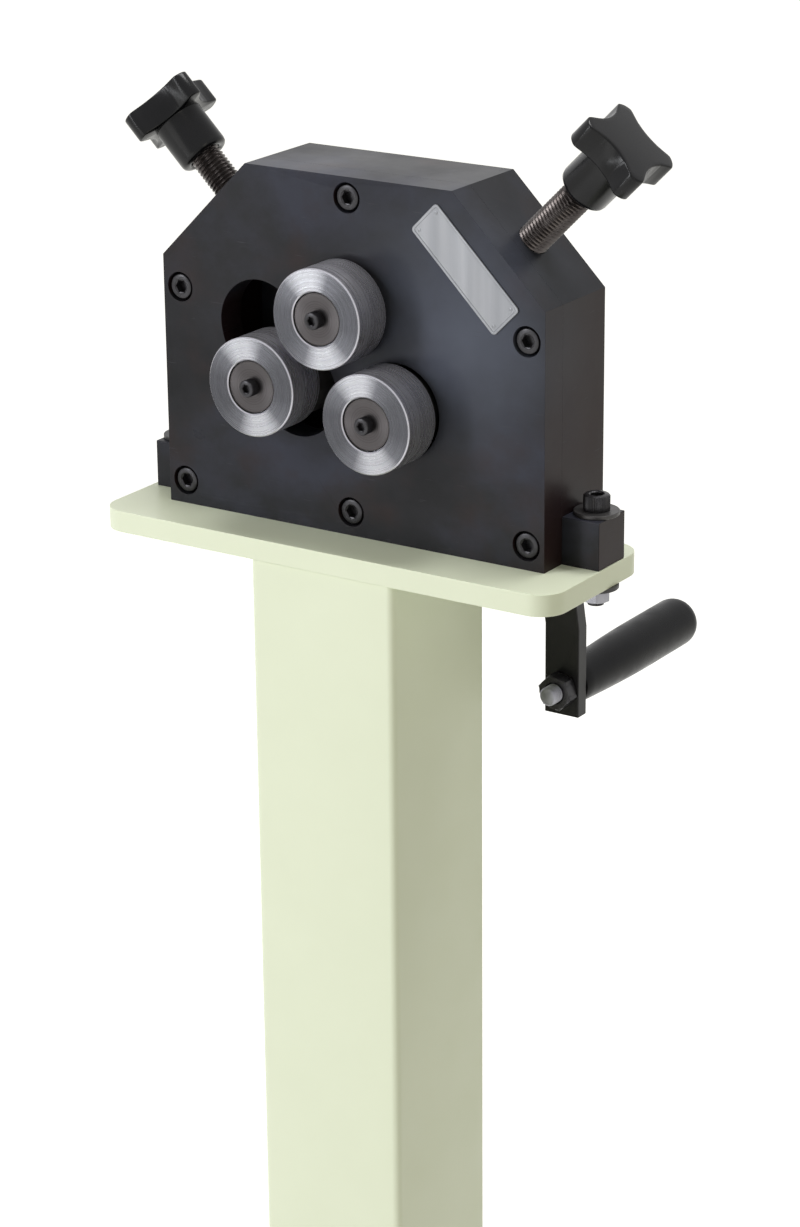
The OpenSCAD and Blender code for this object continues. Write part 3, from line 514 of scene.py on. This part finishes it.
# Blank plate: brushed, with a raised rim and four small rivets, and nothing written on it
low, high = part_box("badge_plate")
c = (low + high) / 2
along = Vector((DIAGONAL, 0, -DIAGONAL))
across = Vector((DIAGONAL, 0, DIAGONAL))
reach = (high.x - low.x) / 2 * math.sqrt(2) / MM
badge_half_w = 10
badge_half_l = reach - badge_half_w


def rounded(bm, inset, r, y):
    """The blank plate's outline, drawn in by an inset, with corners of radius r."""
    half_l, half_w = badge_half_l - inset, badge_half_w - inset
    ring = []
    for cx, cy, a0 in ((1, 1, 0), (-1, 1, 90), (-1, -1, 180), (1, -1, 270)):
        for k in range(7):
            a = math.radians(a0 + 15 * k)
            s = cx * (half_l - r) + r * math.cos(a)
            t = cy * (half_w - r) + r * math.sin(a)
            ring.append(bm.verts.new(c + along * s * MM + across * t * MM + Y * (y * MM)))
    return ring


bm = bmesh.new()
back, face = 0.4, -0.4
rings = [rounded(bm, *row) for row in ((0, 2, back), (0, 2, face + 0.15), (0.2, 1.8, face),
                                       (1.2, 1.2, face), (1.5, 1.0, face + 0.25))]
for p, q in zip(rings, rings[1:]):
    join(bm, p, q)
bm.faces.new(rings[-1])
bm.faces.new(rings[0][::-1])
rivet = [(0.9, 0), (0.85, 0.15), (0.5, 0.28), (0.1, 0.3)]
rivet_in = 3.4
for s in (-1, 1):
    for t in (-1, 1):
        at = c + along * (s * (badge_half_l - rivet_in) * MM) + across * (t * (badge_half_w - rivet_in) * MM)
        at += Y * (face + 0.3) * MM
        lathe(bm, at, -Y, rivet, 24, (True, True))
piece("plain_badge", bm, M["badge"], ["badge_plate"])

# Adjusting screws with their threads, and the star knobs
pitch, crest, depth = 2.0, 8.0, 1.15
run_out, flank = 1.5, 1.12
core_r, groove_r, groove_start, groove_end, shoulder = 5.0, 3.4, 10.3, 13.7, 19.3
knob_r, arm_h, hub_r = 25.0, 14.4, 12.9
fillet, crown, dome_rings, fillet_rings = 0.9, 1.0, 9, 4
knob_bore_r, knob_bore_depth = 8.05, 20
# The star's outline as shares of its radius: the arc between two arms, an arm's round end, the blend
cut_at_share, cut_r_share, nose_share, blend_share = 1.552, 0.942, 0.28, 0.10
# Angles in degrees: where the arc ends, and half the way from one arm to the next
arc_end, half_way = 35.6, 45


def smooth_min(a, b, k):
    """The smaller of two values, with a rounded change from one to the other."""
    h = max(k - abs(a - b), 0) / k
    return min(a, b) - h * h * k / 4


def star(t, turn, inset=0.0):
    """Radius of the knob's outline: four arms with concave sides between them."""
    d, cut = knob_r * cut_at_share, knob_r * cut_r_share
    a = abs(((math.degrees(t) - turn) % (2 * half_way)) - half_way)
    edge, step = math.radians(arc_end), 0.002

    def side(w):
        return d * math.cos(w) - math.sqrt(cut * cut - (d * math.sin(w)) ** 2)
    w = math.radians(a)
    steep = (side(edge) - side(edge - step)) / step
    r = side(w) if w < edge else side(edge) + steep * (w - edge)
    off_tip = math.radians(half_way - a)
    nose = knob_r * nose_share
    reach = nose * nose - ((knob_r - nose) * math.sin(off_tip)) ** 2
    tip = (knob_r - nose) * math.cos(off_tip) + math.sqrt(reach) if reach > 0 else knob_r
    return smooth_min(tip, r, knob_r * blend_share) - inset


for name, sign, turn in (("left", -1, 72), ("right", 1, 48)):
    axis = Vector((sign, 0, 1)).normalized()
    pin = middle(name + "_swivel_pin")
    u = Vector((1, 0, -sign)).normalized()
    v = axis.cross(u)
    start, end = span(name + "_screw", pin, axis)
    knob_low, knob_high = span(name + "_knob", pin, axis)
    bm = bmesh.new()
    count = 48
    plain = [(core_r, start), (core_r, groove_start), (groove_r, groove_start), (groove_r, groove_end),
             (core_r, groove_end), (core_r, shoulder)]
    rings = [ring_of(bm, pin, u, v, axis, r * MM, t * MM, count) for r, t in plain]
    steps = 8
    total = int((end - shoulder) / pitch * steps)
    for k in range(total + 1):
        t = shoulder + (end - shoulder) * k / total
        ease = min(1.0, (t - shoulder) / run_out, (end - t) / run_out)

        def thread(w, t=t, ease=ease):
            f = (t / pitch - w / (2 * math.pi)) % 1.0
            groove = max(0.0, 1.0 - abs(2 * f - 1) * flank)
            return (crest - depth * max(1 - ease, groove)) * MM
        rings.append(ring_of(bm, pin, u, v, axis, 0, t * MM, count, thread))
    for p, q in zip(rings, rings[1:]):
        join(bm, p, q)
    bm.faces.new(rings[0][::-1])
    bm.faces.new(rings[-1])
    piece(name + "_threaded_screw", bm, M["screw_steel"], [name + "_screw"], smooth=50)

    bm = bmesh.new()
    count = 192
    height = knob_high - knob_low
    under = height - arm_h
    rows = [(knob_bore_r, knob_bore_depth), (knob_bore_r, 1.2), (9.0, 0.2), (hub_r - 2.8, 0),
            (hub_r - 1.2, 0.45), (hub_r - 0.35, 1.3), (hub_r, 2.8), (hub_r, under - 0.5),
            (hub_r + 0.3, under + 0.02)]
    centre = pin + axis * knob_low * MM
    rings = [ring_of(bm, centre, u, v, axis, r * MM, t * MM, count) for r, t in rows]
    for inset, t in ((0.9, under + 0.03), (0.25, under + 0.3), (0.0, under + 0.9)):
        rings.append(ring_of(bm, centre, u, v, axis, 0, t * MM, count,
                             lambda w, i=inset: max(hub_r + 0.35, star(w, turn, i)) * MM))

    def domed(inset, share, drop):
        """A ring of the star's outline on the low dome of the knob's top."""
        ring = []
        for k in range(count):
            w = 2 * math.pi * k / count
            r = star(w, turn, inset) * share
            t = height - crown * (r / knob_r) ** 2 - drop
            ring.append(bm.verts.new(centre + axis * t * MM + (u * math.cos(w) + v * math.sin(w)) * r * MM))
        return ring
    for k in range(fillet_rings + 1):
        a = math.pi / 2 * k / fillet_rings
        rings.append(domed(fillet * (1 - math.cos(a)), 1, fillet * (1 - math.sin(a))))
    for k in range(1, dome_rings):
        rings.append(domed(fillet, 1 - k / dome_rings, 0))
    for p, q in zip(rings, rings[1:]):
        join(bm, p, q)
    bm.faces.new(rings[0])
    bm.faces.new(rings[-1])
    piece(name + "_star_knob", bm, M["black_plastic"], [name + "_knob"], smooth=50)

# Crank: nut, bolt end, grip
low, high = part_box("crank_grip")
centre = Vector(((low.x + high.x) / 2, low.y, (low.z + high.z) / 2))
full = (high.x - low.x) / 2 / MM
long = (high.y - low.y) / MM
bore_r = 5.06
slim, swell_share, swell_end, straight = 0.825, 0.174, 0.66, 0.94
start, end_r, rim_r, pocket_r, pocket = 0.7, 3.6, 8.6, 8.35, 6.4
bm = bmesh.new()
profile = [(bore_r, 0.3), (5.4, 0), (full * 0.80, 0), (full * slim, start)]
for k in range(1, 17):
    s = k / 16
    swell = math.sin(math.pi / 2 * min(1.0, s / swell_end))
    profile.append((full * (slim + swell_share * swell), start + (long * straight - start) * s))
for k in range(1, 10):
    a = math.radians(10 * k)
    profile.append((full * (slim + swell_share) - end_r * (1 - math.cos(a)),
                    long * (straight + (1 - straight) * math.sin(a))))
profile += [(rim_r, long), (pocket_r, long - 0.3), (pocket_r, long - pocket), (bore_r, long - pocket),
            (bore_r, 0.3)]
lathe(bm, centre, Y, profile)
piece("turned_grip", bm, M["grip_plastic"], ["crank_grip"], smooth=50)

low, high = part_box("grip_nut")
m10_nut_corner_r, m10_nut_turn = 9.8, 13.5
bm = bmesh.new()
hex_nut(bm, Vector((centre.x, high.y, centre.z)), -Y, m10_nut_corner_r, bore_r, (high.y - low.y) / MM,
        m10_nut_turn)
piece("black_hex_nut", bm, M["black_bolts"], ["grip_nut"])

low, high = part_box("grip_bolt")
bm = bmesh.new()
end = (high.y - low.y) / MM
crest_r, root_r, shank_r, head_r, head_h = 4.95, 4.45, 5.0, 7.95, 5.9
t, thread_end, bolt_pitch = 0.8, 14, 1.5
profile = [(3.9, 0), (4.3, 0.15), (crest_r, t)]
while t < thread_end:
    profile += [(crest_r, t + 0.3), (root_r, t + 0.7), (root_r, t + 0.85), (crest_r, t + 1.25)]
    t += bolt_pitch
profile += [(shank_r, t + 0.5), (shank_r, end - head_h), (head_r, end - head_h), (head_r, end - 0.6),
            (7.4, end)]
lathe(bm, Vector((centre.x, low.y, centre.z)), Y, profile, 64, (True, True))
piece("grip_bolt_turned", bm, M["zinc"], ["grip_bolt"])

# Screws at the crank's hub and the gear cover
low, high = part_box("crank_screw")
hub_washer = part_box("crank_washer")[1].y
crank_screw_len = 14
bm = bmesh.new()
socket_screw(bm, Vector(((low.x + high.x) / 2, hub_washer, (low.z + high.z) / 2)), Y, *M5_SCREW,
             crank_screw_len)
piece("crank_cap_screw", bm, M["black_bolts"], ["crank_screw"])

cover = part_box("gear_cover")[1].y
top_axis = middle("top_shaft")
cover_screw_circle, cover_screw_len = 52, 33
bm = bmesh.new()
for angle in (60, 180, 250):
    a = math.radians(angle)
    out = Vector((math.cos(a), 0, math.sin(a))) * cover_screw_circle * MM
    at = Vector((top_axis.x, cover, top_axis.z)) + out
    socket_screw(bm, at, Y, *COVER_SCREW, cover_screw_len, knurled=False)
piece("cover_cap_screws", bm, M["black_bolts"], ["cover_screws"])

# Finishes of the CAD nodes, those that no piece stands for too
for node, ob in nodes.items():
    ob.data.materials.clear()
    slot = slot_of[node]
    ob.data.materials.append(M.get(slot) or M["black_bolts" if slot == "dark_steel" else "shaft_steel"])

# Floor, lamps and world
def seen_rays(tree):
    """1 for camera, glossy and transmission rays, 0 for the rays that carry the light."""
    path = tree.nodes.new("ShaderNodeLightPath")
    fac = path.outputs["Is Camera Ray"]
    for kind in ("Is Glossy Ray", "Is Transmission Ray"):
        most = tree.nodes.new("ShaderNodeMath")
        most.operation = "MAXIMUM"
        tree.links.new(fac, most.inputs[0])
        tree.links.new(path.outputs[kind], most.inputs[1])
        fac = most.outputs[0]
    return fac


ambient_strength, ambient_colour = 0.31, (1.0, 0.965, 0.78)
world = bpy.data.worlds.new("studio")
bpy.context.scene.world = world
world.use_nodes = True
tree = world.node_tree
ambient = tree.nodes["Background"]
ambient.inputs["Color"].default_value = (*ambient_colour, 1)
ambient.inputs["Strength"].default_value = ambient_strength
seen = tree.nodes.new("ShaderNodeBackground")
seen.inputs["Color"].default_value = (1, 1, 1, 1)
seen.inputs["Strength"].default_value = 1.0
mix = tree.nodes.new("ShaderNodeMixShader")
tree.links.new(seen_rays(tree), mix.inputs[0])
tree.links.new(ambient.outputs[0], mix.inputs[1])
tree.links.new(seen.outputs[0], mix.inputs[2])
tree.links.new(mix.outputs[0], tree.nodes["World Output"].inputs["Surface"])

# The floor is plain and pale; what the camera sees of it is lifted to the background's white
floor_mesh = bpy.data.meshes.new("floor")
half, floor_drop, floor_lift = 12.0, 0.0005, 0.80
floor_mesh.from_pydata([(-half, -half, 0), (half, -half, 0), (half, half, 0), (-half, half, 0)], [],
                       [(0, 1, 2, 3)])
floor = bpy.data.objects.new("floor", floor_mesh)
floor.location.z = -floor_drop
bpy.context.scene.collection.objects.link(floor)
pale = Shader("pale_floor", 0.9, Specular_IOR_Level=0.0)
pale.colour(pale.tones(pale.noise(3), (0.84, 0.84, 0.84), (0.88, 0.88, 0.88)))
pale.bsdf.inputs["Emission Color"].default_value = (1, 1, 1, 1)
pale.put(pale.math("MULTIPLY", seen_rays(pale.tree), floor_lift), pale.bsdf.inputs["Emission Strength"])
floor_mesh.materials.append(pale.mat)


def softbox(name, at, target, size, watts, colour=(1, 1, 1)):
    """A rectangular area lamp, its width and height in metres, that points at a target."""
    data = bpy.data.lights.new(name, "AREA")
    data.shape = "RECTANGLE"
    data.size, data.size_y = size
    data.energy = watts
    data.color = colour
    ob = bpy.data.objects.new(name, data)
    ob.location = at
    ob.rotation_euler = (Vector(target) - Vector(at)).to_track_quat("-Z", "Y").to_euler()
    bpy.context.scene.collection.objects.link(ob)


cool, warm = (0.96, 0.975, 1.0), (1.0, 0.94, 0.76)
head = middle("body_casing")
softbox("key_left", head + Vector((-1.3, -1.9, 0.9)), head, (0.6, 1.3), 30.5, cool)
softbox("fill_right", head + Vector((2.0, -0.9, 0.5)), head, (0.5, 1.4), 3.5, warm)
softbox("overhead", head + Vector((0.2, 0.3, 1.7)), head, (0.6, 1.2), 25)
softbox("low_front", head + Vector((-0.4, -2.2, -0.7)), head + Vector((0, 0, -0.4)), (1.6, 1.0), 6)
softbox("knob_streak", Vector((-1.04, -1.62, 0.98)), head + Vector((0.1, 0, 0.1)), (0.12, 0.9), 3,
        (0.94, 0.965, 1.0))

# Camera: solved from the photo's corners, screws and rollers
azimuth, elevation, roll = math.radians(33.375), math.radians(19.662), math.radians(-0.551)
focal_px, frame_px, sensor = 3444.633, 800.0, 36.0
eye = Vector((0.90075, -1.33917, 1.43148))
level = math.cos(elevation)
away = Vector((math.sin(azimuth) * level, -math.cos(azimuth) * level, math.sin(elevation)))
right = Vector((math.cos(azimuth), math.sin(azimuth), 0))
up = away.cross(right)
turned_right = right * math.cos(roll) + up * math.sin(roll)
turned_up = up * math.cos(roll) - right * math.sin(roll)
camera_data = bpy.data.cameras.new("photo_camera")
camera_data.sensor_fit = "HORIZONTAL"
camera_data.sensor_width = sensor
camera_data.lens = focal_px * sensor / frame_px
camera_data.clip_start, camera_data.clip_end = 0.05, 50
camera = bpy.data.objects.new("photo_camera", camera_data)
turn = Matrix((turned_right, turned_up, away)).transposed()
camera.matrix_world = Matrix.Translation(eye) @ turn.to_4x4()
bpy.context.scene.collection.objects.link(camera)
bpy.context.scene.camera = camera
bpy.context.scene.view_settings.view_transform = "Standard"
